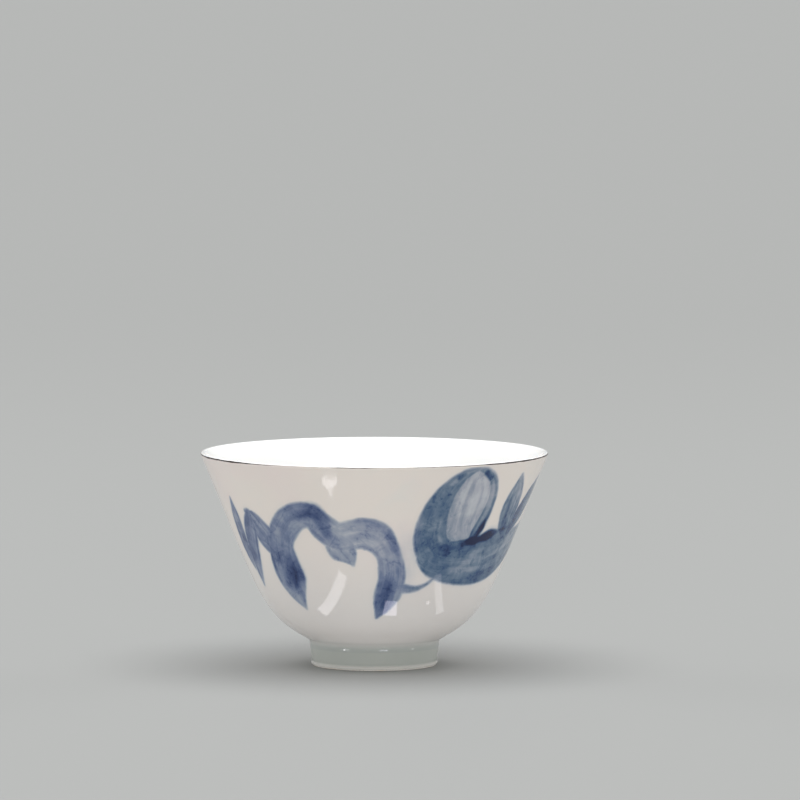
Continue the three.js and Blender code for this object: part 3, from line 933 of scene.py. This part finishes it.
line_angles = angles_round(LINE_COLUMNS)
line_degrees = (np.degrees(line_angles) + 180) % 360 - 180
strength = np.interp(line_degrees, *zip(*LINE_STRENGTH))
line_middle = np.radians(LINE_MIDDLE + LINE_WANDER * slow_noise((3, 8, 21, 55)))
line_swell = 1 + LINE_SWELL * slow_noise((7, 19, 41, 83))
line_half = np.radians(LINE_HALF * strength * line_swell + LINE_THINNEST)
line_proud = LINE_PROUD * np.minimum(1, 0.1 + 2 * strength)  # full from a strength of 0.45
lip_push = unevenness(line_angles, CUP_HEIGHT)


def line_ring(share, radius):
    """A ring of the line's points, at a share of the way from its middle to its upper edge."""
    spot = on_circle(LIP_CENTRE, line_middle + line_half * share, np.reshape(radius, (-1, 1)))
    return ring_point(line_angles, spot[:, 0] + lip_push, spot[:, 1])


line_shares = np.linspace(-1, 1, LINE_ROWS + 1)
line_rings = []
for share in line_shares:
    rounded = 1 - (1 - LINE_EDGE_PROUD) * share**2
    line_rings.append(line_ring(share, LIP_RADIUS + line_proud * rounded))
for share in line_shares[::-1]:
    line_rings.append(line_ring(share, LIP_RADIUS - LINE_DEPTH))
lip_line = skin("lip_line", line_rings, closed=True)
lip_line.data.materials.append(glaze("iron_wash", iron_colour))

# ---------------------------------------------------------------- what stands for what

for piece, slot, nodes_replaced in (
    (bowl, "glazed_porcelain", ("porcelain_bowl", "outer_glaze", "inner_glaze")),
    (foot, "glazed_porcelain", ("foot_ring",)),
    (standing_ring, "bare_porcelain", ()),
    (recess_glaze, "glazed_porcelain", ("base_glaze",)),
    (lip_line, "iron_wash", ("rim_line",)),
):
    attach(piece, "root")
    if nodes_replaced:
        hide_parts(*nodes_replaced)

# ---------------------------------------------------------------- floor and sky

# From here on, lengths are in metres unless the line says otherwise.
FLOOR_HALF = 30.0
FLOOR_COLOUR = rgb(0.343, 0.348, 0.343)
SKY_COLOUR = rgb(0.462, 0.467, 0.462)
SKY_LIGHT = 2.65
SKY_ANGLE = math.radians(70)

floor_mesh = bpy.data.meshes.new("floor")
corners = ((-1, -1), (1, -1), (1, 1), (-1, 1))
floor_mesh.from_pydata([(x * FLOOR_HALF, y * FLOOR_HALF, 0) for x, y in corners], [], [(0, 1, 2, 3)])
floor = new_object("floor", floor_mesh)
floor_material, _, _ = new_material("floor", Base_Color=FLOOR_COLOUR, Roughness=0.6, IOR=1.4)
floor.data.materials.append(floor_material)

scene = bpy.context.scene
scene.view_settings.view_transform = "Standard"
world = bpy.data.worlds.new("studio")
scene.world = world
world.use_nodes = True
background = world.node_tree.nodes["Background"].inputs
background["Color"].default_value = SKY_COLOUR
background["Strength"].default_value = 1.0

sky = new_object("sky", bpy.data.lights.new("sky", "SUN"))
sky.data.angle = SKY_ANGLE
sky.data.energy = SKY_LIGHT

# ---------------------------------------------------------------- lamps


def area_light(name, place, rotation, size, power):
    """A rectangular lamp that the camera doesn't see. Size is its width and length."""
    light = bpy.data.lights.new(name, "AREA")
    light.shape = "RECTANGLE"
    light.size, light.size_y = size
    light.energy = power
    lamp = new_object(name, light)
    lamp.location = place
    lamp.rotation_euler = rotation
    lamp.visible_camera = False
    return lamp


def facing_up(name, place, turn, size, radiance):
    """A lamp that lies on its back and looks as bright as its radiance says."""
    power = radiance * math.pi * size[0] * size[1]
    return area_light(name, place, (math.pi, 0, math.radians(turn)), size, power)


# Three soft fills stand round the cup, low down, and are kept out of the glaze's reflections.
CUP_MIDDLE = Vector((0, 0, 0.03))
FILL_DISTANCE = 1.7
FILL_HEIGHT = 0.24
FILL_SIZE = (1.0, 0.3)
FILL_POWER = 1.2
FILL_SPREAD = math.radians(60)
for number, around in enumerate((0, 120, 240)):
    angle = math.radians(around)
    place = Vector((FILL_DISTANCE * math.sin(angle), -FILL_DISTANCE * math.cos(angle), FILL_HEIGHT))
    aim = (CUP_MIDDLE - place).to_track_quat("-Z", "Y").to_euler()
    fill = area_light(f"fill_{number}", place, aim, FILL_SIZE, FILL_POWER)
    fill.data.spread = FILL_SPREAD
    fill.visible_glossy = False

# The bounce from the table, which a shiny table keeps up right to the foot.
GLOW_HEIGHT = 0.0001
GLOW_SIZE = (0.5, 0.5)
GLOW_RADIANCE = 0.36
glow = facing_up("table_glow", (0, 0, GLOW_HEIGHT), 0, GLOW_SIZE, GLOW_RADIANCE)
glow.visible_glossy = False

# Small dim panels lie round the cup, where a polished table would mirror the studio's softboxes. They
# show only in the glaze, as the highlights on the underside of the flare and on the foot.
PANEL_HEIGHT = 1.5  # millimetres
WARM = (1.0, 0.97, 0.995)
LAVENDER = (0.88, 0.84, 1.0)
PANELS = [
    # x and y in millimetres, width, length, turn in degrees, radiance, colour
    # two long strips and a lavender patch between them
    (-20.5, -34.7, 5.8, 23.8, 5.8, 3.2, WARM),
    (32.1, -25.9, 5.0, 21.0, 32.9, 1.7, WARM),
    (7.1, -33.1, 6.0, 8.2, 16.5, 4.6, LAVENDER),
    # a funnel under the lip, from its mouth to its spout
    (-38.3, -74.9, 13.8, 2.4, -24.0, 5.0, WARM),
    (-37.4, -73.1, 8.6, 1.5, -24.0, 4.4, WARM),
    (-36.5, -71.3, 3.4, 2.6, -24.0, 2.8, WARM),
    # a dot, and a glint on each side of the foot
    (24.9, -27.6, 1.6, 1.6, 0.0, 4.0, WARM),
    (-21.7, -23.8, 4.6, 1.8, 5.8, 10.0, WARM),
    (26.9, -18.0, 3.0, 1.6, 32.9, 6.0, WARM),
    # a strip and a patch at the back
    (4.0, 38.0, 5.2, 20.0, -6.0, 3.4, WARM),
    (-8.0, 30.0, 5.0, 7.0, 12.0, 4.0, LAVENDER),
]
for number, (x, y, width, length, turn, radiance, colour) in enumerate(PANELS):
    place = (x * MM, y * MM, PANEL_HEIGHT * MM)
    panel = facing_up(f"panel_{number}", place, turn, (width * MM, length * MM), radiance)
    panel.data.color = colour
    panel.visible_diffuse = False

# ---------------------------------------------------------------- camera

# It stands back about two metres with a long lens, a little above the lip.
CAMERA_DISTANCE = 1.958
CAMERA_ELEVATION = math.radians(4.97)
CAMERA_LENS = 360.0  # millimetres, as is the sensor's width
CAMERA_SENSOR = 36.0
AIM_RIGHT = math.radians(0.184)
AIM_DOWN = math.radians(4.59)
PIVOT_HEIGHT = 0.052

camera = new_object("camera", bpy.data.cameras.new("camera"))
camera.data.lens = CAMERA_LENS
camera.data.sensor_width = CAMERA_SENSOR
camera.data.clip_end = 2 * FLOOR_HALF
camera.location = (0, -CAMERA_DISTANCE * math.cos(CAMERA_ELEVATION),
                   PIVOT_HEIGHT + CAMERA_DISTANCE * math.sin(CAMERA_ELEVATION))
camera.rotation_euler = (math.pi / 2 - AIM_DOWN, 0, -AIM_RIGHT)
scene.camera = camera
